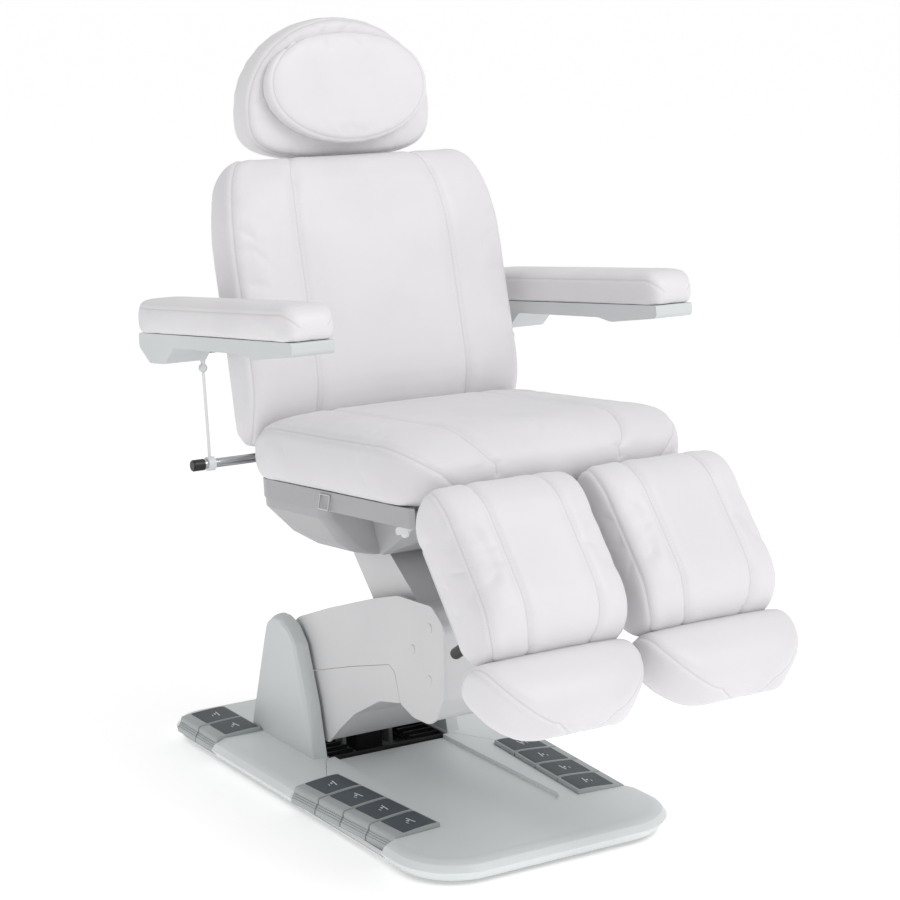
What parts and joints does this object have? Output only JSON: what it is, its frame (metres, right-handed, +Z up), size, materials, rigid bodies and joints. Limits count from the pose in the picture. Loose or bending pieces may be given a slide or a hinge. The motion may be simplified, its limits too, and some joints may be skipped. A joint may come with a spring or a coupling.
{
  "type": "podiatry chair",
  "caption": "Treatment chair on a lifting arm and pedal base, with reclining back, armrests that stay level, headrest, and separate leg rests with sliding foot pads.",
  "frame": {"origin": "centre of the underside of the base, on the floor", "axes": "+Z up, -Y the way the sitter faces, +X to the sitter's left; the chair is symmetric about X = 0"},
  "size_m": [0.8618, 1.3294, 1.4651],
  "materials": {
    "upholstery": "soft white artificial leather with sewn channels",
    "white covers": "satin white moulding",
    "grey covers": "satin light grey moulding",
    "pedals": "light grey caps with slate blue inlays",
    "black plastic": "matt black",
    "painted steel": "grey powder coat",
    "white steel": "white powder coat",
    "black steel": "black coat",
    "bright steel": "polished bright steel"
  },
  "bodies": {
    "base": {"base_plate": "painted steel", "front_base_cover": "grey covers", "rear_base_cover": "grey covers", "tower_covers": "grey covers", "lift_bracket": "painted steel", "arm_well_grille": "black plastic", "lift_drive": "black steel"},
    "lift_arm": {"upper_link": "painted steel", "arm_side_covers": "white covers", "arm_top_cover": "white covers", "arm_lower_cover": "white covers", "arm_front_cover": "white covers"},
    "lower_arm": {"lower_link": "painted steel"},
    "neck": {"neck_frame": "painted steel", "neck_cover": "white covers"},
    "seat": {"seat_frame": "painted steel", "seat_shell": "white covers", "seat_cushion": "upholstery", "cross_tube": "bright steel", "tube_caps": "black plastic", "tie_rings": "bright steel", "leg_hinge_arms": "white steel"},
    "back": {"back_frame": "painted steel", "back_shell": "white covers", "back_cushion": "upholstery"},
    "head_rods": {"headrest_rods": "bright steel"},
    "head": {"headrest_shell": "white covers", "headrest_cushion": "upholstery", "headrest_pillow": "upholstery"},
    "front_pedal_left_1": {"front_pedal_left_1": "pedals"},
    "front_pedal_left_2": {"front_pedal_left_2": "pedals"},
    "front_pedal_left_3": {"front_pedal_left_3": "pedals"},
    "front_pedal_left_4": {"front_pedal_left_4": "pedals"},
    "rear_pedal_left_1": {"rear_pedal_left_1": "pedals"},
    "rear_pedal_left_2": {"rear_pedal_left_2": "pedals"},
    "left_armrest": {"left_armrest_plate": "grey covers", "left_armrest_cushion": "upholstery"},
    "left_arm_rod": {"left_armrest_link": "white steel"},
    "left_leg": {"left_leg_shell": "white covers", "left_leg_cushion": "upholstery", "left_foot_lever": "black steel"},
    "left_rail": {"left_foot_rail": "painted steel"},
    "left_foot": {"left_foot_shell": "white covers", "left_foot_cushion": "upholstery"},
    "front_pedal_right_1": {"front_pedal_right_1": "pedals"},
    "front_pedal_right_2": {"front_pedal_right_2": "pedals"},
    "front_pedal_right_3": {"front_pedal_right_3": "pedals"},
    "front_pedal_right_4": {"front_pedal_right_4": "pedals"},
    "rear_pedal_right_1": {"rear_pedal_right_1": "pedals"},
    "rear_pedal_right_2": {"rear_pedal_right_2": "pedals"},
    "right_armrest": {"right_armrest_plate": "grey covers", "right_armrest_cushion": "upholstery"},
    "right_arm_rod": {"right_armrest_link": "white steel"},
    "right_leg": {"right_leg_shell": "white covers", "right_leg_cushion": "upholstery", "right_foot_lever": "black steel"},
    "right_rail": {"right_foot_rail": "painted steel"},
    "right_foot": {"right_foot_shell": "white covers", "right_foot_cushion": "upholstery"}
  },
  "joints": [
    {"name": "lift", "type": "hinge", "parent": "base", "child": "lift_arm", "pos_m": [0, 0.2, 0.257], "axis": [-1, 0, 0], "range_deg": [-18, 26]},
    {"name": "lower_arm_turn", "type": "hinge", "parent": "base", "child": "lower_arm", "pos_m": [0, 0.215, 0.177], "axis": [-1, 0, 0], "range_deg": [-18, 26]},
    {"name": "neck_level", "type": "hinge", "parent": "lift_arm", "child": "neck", "pos_m": [0, -0.23024, 0.36667], "axis": [-1, 0, 0], "range_deg": [-26, 18]},
    {"name": "seat_tilt", "type": "hinge", "parent": "neck", "child": "seat", "pos_m": [0, 0.00476, 0.54267], "axis": [-1, 0, 0], "range_deg": [-4, 12]},
    {"name": "back_recline", "type": "hinge", "parent": "seat", "child": "back", "pos_m": [0, 0.19076, 0.68067], "axis": [-1, 0, 0], "range_deg": [0, 70]},
    {"name": "headrest_height", "type": "slide", "parent": "back", "child": "head_rods", "axis": [0, 0.2588, 0.9659], "range_m": [0, 0.1]},
    {"name": "headrest_tilt", "type": "hinge", "parent": "head_rods", "child": "head", "pos_m": [0, 0.35316, 1.23117], "axis": [-1, 0, 0], "range_deg": [0, 30]},
    {"name": "front_pedal_left_1_press", "type": "slide", "parent": "base", "child": "front_pedal_left_1", "axis": [0, 0, -1], "range_m": [0, 0.005], "stiffness_N_per_m": 2000},
    {"name": "front_pedal_left_2_press", "type": "slide", "parent": "base", "child": "front_pedal_left_2", "axis": [0, 0, -1], "range_m": [0, 0.005], "stiffness_N_per_m": 2000},
    {"name": "front_pedal_left_3_press", "type": "slide", "parent": "base", "child": "front_pedal_left_3", "axis": [0, 0, -1], "range_m": [0, 0.005], "stiffness_N_per_m": 2000},
    {"name": "front_pedal_left_4_press", "type": "slide", "parent": "base", "child": "front_pedal_left_4", "axis": [0, 0, -1], "range_m": [0, 0.005], "stiffness_N_per_m": 2000},
    {"name": "rear_pedal_left_1_press", "type": "slide", "parent": "base", "child": "rear_pedal_left_1", "axis": [0, 0, -1], "range_m": [0, 0.005], "stiffness_N_per_m": 2000},
    {"name": "rear_pedal_left_2_press", "type": "slide", "parent": "base", "child": "rear_pedal_left_2", "axis": [0, 0, -1], "range_m": [0, 0.005], "stiffness_N_per_m": 2000},
    {"name": "left_armrest_level", "type": "hinge", "parent": "back", "child": "left_armrest", "pos_m": [0, 0.2119, 0.86063], "axis": [-1, 0, 0], "range_deg": [-70, 0]},
    {"name": "left_arm_rod_turn", "type": "hinge", "parent": "seat", "child": "left_arm_rod", "pos_m": [0, 0.15976, 0.64967], "axis": [-1, 0, 0], "range_deg": [0, 70]},
    {"name": "left_leg_raise", "type": "hinge", "parent": "seat", "child": "left_leg", "pos_m": [0, -0.48824, 0.68367], "axis": [-1, 0, 0], "range_deg": [-25, 15]},
    {"name": "left_foot_reach", "type": "slide", "parent": "left_leg", "child": "left_rail", "axis": [0, -0.6428, -0.766], "range_m": [0, 0.12]},
    {"name": "left_foot_tilt", "type": "hinge", "parent": "left_rail", "child": "left_foot", "pos_m": [0, -0.65219, 0.38821], "axis": [-1, 0, 0], "range_deg": [-20, 0]},
    {"name": "front_pedal_right_1_press", "type": "slide", "parent": "base", "child": "front_pedal_right_1", "axis": [0, 0, -1], "range_m": [0, 0.005], "stiffness_N_per_m": 2000},
    {"name": "front_pedal_right_2_press", "type": "slide", "parent": "base", "child": "front_pedal_right_2", "axis": [0, 0, -1], "range_m": [0, 0.005], "stiffness_N_per_m": 2000},
    {"name": "front_pedal_right_3_press", "type": "slide", "parent": "base", "child": "front_pedal_right_3", "axis": [0, 0, -1], "range_m": [0, 0.005], "stiffness_N_per_m": 2000},
    {"name": "front_pedal_right_4_press", "type": "slide", "parent": "base", "child": "front_pedal_right_4", "axis": [0, 0, -1], "range_m": [0, 0.005], "stiffness_N_per_m": 2000},
    {"name": "rear_pedal_right_1_press", "type": "slide", "parent": "base", "child": "rear_pedal_right_1", "axis": [0, 0, -1], "range_m": [0, 0.005], "stiffness_N_per_m": 2000},
    {"name": "rear_pedal_right_2_press", "type": "slide", "parent": "base", "child": "rear_pedal_right_2", "axis": [0, 0, -1], "range_m": [0, 0.005], "stiffness_N_per_m": 2000},
    {"name": "right_armrest_level", "type": "hinge", "parent": "back", "child": "right_armrest", "pos_m": [0, 0.2119, 0.86063], "axis": [-1, 0, 0], "range_deg": [-70, 0]},
    {"name": "right_arm_rod_turn", "type": "hinge", "parent": "seat", "child": "right_arm_rod", "pos_m": [0, 0.15976, 0.64967], "axis": [-1, 0, 0], "range_deg": [0, 70]},
    {"name": "right_leg_raise", "type": "hinge", "parent": "seat", "child": "right_leg", "pos_m": [0, -0.48824, 0.68367], "axis": [-1, 0, 0], "range_deg": [-25, 15]},
    {"name": "right_foot_reach", "type": "slide", "parent": "right_leg", "child": "right_rail", "axis": [0, -0.6428, -0.766], "range_m": [0, 0.12]},
    {"name": "right_foot_tilt", "type": "hinge", "parent": "right_rail", "child": "right_foot", "pos_m": [0, -0.65219, 0.38821], "axis": [-1, 0, 0], "range_deg": [-20, 0]}
  ],
  "couplings": [
    {"joint": "lower_arm_turn", "follows": "lift", "ratio": 1},
    {"joint": "neck_level", "follows": "lift", "ratio": -1},
    {"joint": "left_armrest_level", "follows": "back_recline", "ratio": -1},
    {"joint": "left_arm_rod_turn", "follows": "back_recline", "ratio": 1},
    {"joint": "right_armrest_level", "follows": "back_recline", "ratio": -1},
    {"joint": "right_arm_rod_turn", "follows": "back_recline", "ratio": 1}
  ]
}
